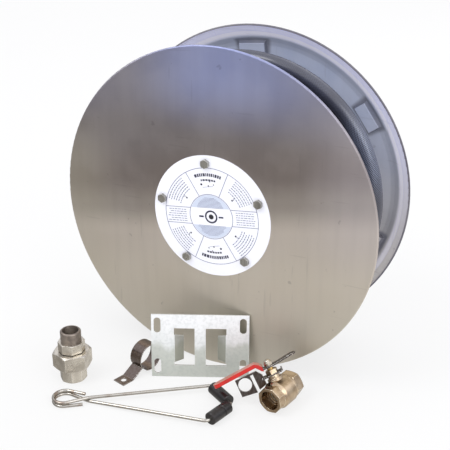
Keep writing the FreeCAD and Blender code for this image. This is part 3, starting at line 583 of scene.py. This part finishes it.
def hose_tail(leave, heading):
    """Curve from the last turn round to the upright nozzle."""
    end = Vector((NOZZLE.x, NOZZLE.y, CENTRE.z - 24 * MM))
    reach = (end - leave).length
    control = [leave, leave + heading * reach * 0.42, end - Vector((0, 0, reach * 0.5)), end]
    points = []
    for step in range(1, 31):
        t = step / 30
        weights = ((1 - t) ** 3, 3 * t * (1 - t) ** 2, 3 * t * t * (1 - t), t ** 3)
        points.append(sum((point * weight for point, weight in zip(control, weights)), Vector()))
    return points


outer = last_turn()
outer += hose_tail(outer[-1], (outer[-1] - outer[-2]).normalized())
hose_layer = tube_mesh("hose_top_layer", wound_layer(), HOSE_R, 16)
hose_outer = tube_mesh("hose_last_turn", outer, HOSE_R, 24)
for piece in (hose_layer, hose_outer):
    piece.data.materials.append(hose_material)
    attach(piece, "reel")
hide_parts("hose_pack")


# ---- label artwork ----
class Print:
    """Flat printed shapes just in front of the label plate, drawn in millimetres about its centre."""

    def __init__(self, name, material, lift, turn):
        self.name, self.material, self.lift, self.turn = name, material, lift, math.radians(turn)
        self.vertices, self.faces = [], []

    def patch(self, points):
        start = len(self.vertices)
        cosine, sine = math.cos(self.turn), math.sin(self.turn)
        for x, z in points:
            right, up = x * cosine - z * sine, x * sine + z * cosine
            self.vertices.append((right * MM, LABEL_FRONT - self.lift * MM, up * MM))
        self.faces.append(tuple(range(start, len(self.vertices))))

    def bar(self, x, z, width, height, lean=0.0):
        """Rectangle centred on x, z and turned by lean degrees."""
        c, s = math.cos(math.radians(lean)), math.sin(math.radians(lean))
        corners = [(-1, -1), (1, -1), (1, 1), (-1, 1)]
        half = [(a * width / 2, b * height / 2) for a, b in corners]
        self.patch([(x + a * c - b * s, z + a * s + b * c) for a, b in half])

    def arc(self, radius, width, start=0.0, end=360.0, steps=72):
        for step in range(steps):
            first = math.radians(start + (end - start) * step / steps)
            second = math.radians(start + (end - start) * (step + 1) / steps)
            inner, outer_r = radius - width / 2, radius + width / 2
            self.patch([(inner * math.cos(first), inner * math.sin(first)),
                        (outer_r * math.cos(first), outer_r * math.sin(first)),
                        (outer_r * math.cos(second), outer_r * math.sin(second)),
                        (inner * math.cos(second), inner * math.sin(second))])

    def dot(self, x, z, radius):
        self.patch([(x + radius * math.cos(math.tau * k / 16), z + radius * math.sin(math.tau * k / 16))
                    for k in range(16)])

    def make(self):
        mesh = bpy.data.meshes.new(self.name)
        mesh.from_pydata(self.vertices, [], self.faces)
        piece = bpy.data.objects.new(self.name, mesh)
        bpy.context.scene.collection.objects.link(piece)
        mesh.materials.append(self.material)
        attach(piece, "reel")


def polar(radius, angle):
    return radius * math.cos(math.radians(angle)), radius * math.sin(math.radians(angle))


def lines_of_bars(page, radius_from, radius_to, centre_angle, spread, rows, height):
    """Rows of short bars that follow the rim, like small print with no letters in it."""
    for row in range(rows):
        radius = radius_to + (radius_from - radius_to) * row / max(rows - 1, 1)
        angle = centre_angle - spread / 2
        while angle < centre_angle + spread / 2:
            length = random.uniform(1.6, 4.2)
            sweep = math.degrees(length / radius)
            if angle + sweep > centre_angle + spread / 2:
                break
            x, z = polar(radius, angle + sweep / 2)
            page.bar(x, z, length, height, angle + sweep / 2 + 90)
            angle += sweep + math.degrees(1.1 / radius)


LABEL_TURN = 6.2
OUTLINE_R = 80.0
MIDDLE_R = 37.0
BAND = 13.5
SIDE_ANGLE = 63.0
LINE = 0.9

grey = Print("label_small_print", ink("ink_grey", rgb(88, 92, 128), 0.1), 0.12, LABEL_TURN)
navy = Print("label_symbols", ink("ink_navy", rgb(34, 34, 60), 0.0), 0.16, LABEL_TURN)
tint = Print("label_tint", ink("ink_pale_blue", rgb(200, 208, 224), 0.0), 0.08, LABEL_TURN)

grey.arc(OUTLINE_R, LINE)
grey.arc(MIDDLE_R, LINE)
for side in (0, 180):
    for level in (-BAND, BAND):
        inner = math.sqrt(MIDDLE_R ** 2 - BAND ** 2)
        outer_x = math.sqrt(OUTLINE_R ** 2 - BAND ** 2)
        middle = (inner + outer_x) / 2
        grey.bar(middle if side == 0 else -middle, level, outer_x - inner, LINE)
    for row in range(6):
        x = 43.0
        while x < 72:
            width = random.uniform(2, 6)
            grey.bar(x + width / 2 if side == 0 else -x - width / 2, 9.5 - row * 3.8, width, 1.0)
            x += width + 1.2
for spoke in (SIDE_ANGLE, 180 - SIDE_ANGLE, 180 + SIDE_ANGLE, -SIDE_ANGLE):
    x, z = polar((MIDDLE_R + OUTLINE_R) / 2, spoke)
    grey.bar(x, z, OUTLINE_R - MIDDLE_R, LINE, spoke)
for half in (0, 180):
    tint.patch([polar(MIDDLE_R - 1, half + 24 + step * 4) for step in range(34)])
for middle_angle in (90, 270):
    lines_of_bars(navy, 69, 69, middle_angle, 40, 1, 5.0)
    lines_of_bars(navy, 60.5, 60.5, middle_angle, 26, 1, 2.8)
    for x, z, size in ((-11, 53, 1.7), (1, 51, 1.2), (4, 58, 1.0), (10, 53, 1.0)):
        flip = 1 if middle_angle == 90 else -1
        navy.dot(x * flip, z * flip, size)
    grey.bar(0, 49.5 if middle_angle == 90 else -49.5, 18, 0.5, 8)
for quarter, spread in ((37, 34), (143, 34), (217, 34), (323, 34)):
    lines_of_bars(grey, 55, 76, quarter, spread, 6, 1.3)
    x, z = polar(49, quarter)
    navy.dot(x, z, 1.5)
    navy.bar(x * 1.08, z * 1.08, 4.5, 0.8, quarter + 35)
navy.arc(9.5, 2.6, steps=40)
navy.dot(0, 0, 4.2)
for x in (-17, 17):
    navy.bar(x, 0, 8, 2.6)
for row in range(9):
    for half in (-1, 1):
        height = 15 + row * 2.0
        width = 2 * math.sqrt(33 ** 2 - height ** 2)
        grey.bar(0, half * height, width * random.uniform(0.75, 0.95), 0.6)
for page in (grey, navy, tint):
    page.make()


# ---- floor, light and camera ----
def stage_floor():
    mesh = bpy.data.meshes.new("floor")
    half = 6.0
    corners = [(x * half, y * half, FLOOR_Z) for x, y in ((-1, -1), (1, -1), (1, 1), (-1, 1))]
    mesh.from_pydata(corners, [], [(0, 1, 2, 3)])
    floor = bpy.data.objects.new("floor", mesh)
    bpy.context.scene.collection.objects.link(floor)
    graph = Graph("floor_white")
    seen = graph.node("LightPath").outputs["Is Camera Ray"]
    glow = graph.math("ADD", 0.35, graph.math("MULTIPLY", seen, 0.40))
    shade = graph.mix(seen, (0.62, 0.62, 0.62, 1), (0.15, 0.15, 0.147, 1))
    graph.set(Base_Color=shade, Roughness=0.9, Emission_Color=(1, 1, 1, 1), Emission_Strength=glow)
    mesh.materials.append(graph.material)
    floor.visible_glossy = False


def studio_world():
    """Pale backdrop for the camera, and a soft graded room for reflections and fill light."""
    world = bpy.data.worlds.new("studio")
    world.use_nodes = True
    tree = world.node_tree
    coordinates = tree.nodes.new("ShaderNodeTexCoord")
    split = tree.nodes.new("ShaderNodeSeparateXYZ")
    tree.links.new(coordinates.outputs["Generated"], split.inputs[0])
    level = tree.nodes.new("ShaderNodeMapRange")
    tree.links.new(split.outputs["Z"], level.inputs["Value"])
    level.inputs["From Min"].default_value = -1.0
    ramp = tree.nodes.new("ShaderNodeValToRGB")
    tree.links.new(level.outputs[0], ramp.inputs[0])
    stops = [(0.0, (0.66, 0.64, 0.60)), (0.36, (0.74, 0.72, 0.70)), (0.47, (0.40, 0.39, 0.40)),
             (0.58, (0.52, 0.53, 0.58)), (0.72, (1.1, 1.1, 1.16)), (1.0, (1.3, 1.3, 1.36))]
    while len(ramp.color_ramp.elements) < len(stops):
        ramp.color_ramp.elements.new(0.5)
    for element, (position, colour) in zip(ramp.color_ramp.elements, stops):
        element.position = position
        element.color = colour + (1,)
    side = tree.nodes.new("ShaderNodeMapRange")
    tree.links.new(split.outputs["X"], side.inputs["Value"])
    for socket, value in zip(side.inputs[1:5], (-1.0, 1.0, 0.7, 1.3)):
        socket.default_value = value
    graded = tree.nodes.new("ShaderNodeVectorMath")
    graded.operation = "SCALE"
    tree.links.new(ramp.outputs[0], graded.inputs[0])
    tree.links.new(side.outputs[0], graded.inputs["Scale"])
    light_path = tree.nodes.new("ShaderNodeLightPath")
    mix = tree.nodes.new("ShaderNodeMix")
    mix.data_type = "RGBA"
    tree.links.new(light_path.outputs["Is Camera Ray"], mix.inputs[0])
    tree.links.new(graded.outputs[0], mix.inputs[6])
    mix.inputs[7].default_value = (0.955, 0.957, 0.957, 1)
    tree.links.new(mix.outputs[2], tree.nodes["Background"].inputs["Color"])
    bpy.context.scene.world = world


def soft_light(name, place, size, power):
    data = bpy.data.lights.new(name, "AREA")
    data.shape = "DISK"
    data.size = size
    data.energy = power
    lamp = bpy.data.objects.new(name, data)
    lamp.location = CENTRE + Vector(place)
    lamp.rotation_euler = (-Vector(place)).to_track_quat("-Z", "Y").to_euler()
    bpy.context.scene.collection.objects.link(lamp)


def photo_camera():
    data = bpy.data.cameras.new("camera")
    data.sensor_width = 36.0
    data.lens = 70.64
    camera = bpy.data.objects.new("camera", data)
    camera.location = CENTRE + Vector((0.5611, -1.2208, 0.5424))
    camera.rotation_euler = (math.radians(66.19), 0.0, math.radians(25.46))
    bpy.context.scene.collection.objects.link(camera)
    bpy.context.scene.camera = camera


stage_floor()
studio_world()
soft_light("key", (-1.2, -1.6, 2.4), 1.6, 32)
soft_light("fill", (2.2, -1.2, 1.2), 1.8, 14)
soft_light("back", (0.3, 2.4, 1.8), 1.5, 12)
photo_camera()
bpy.context.scene.view_settings.view_transform = "Standard"
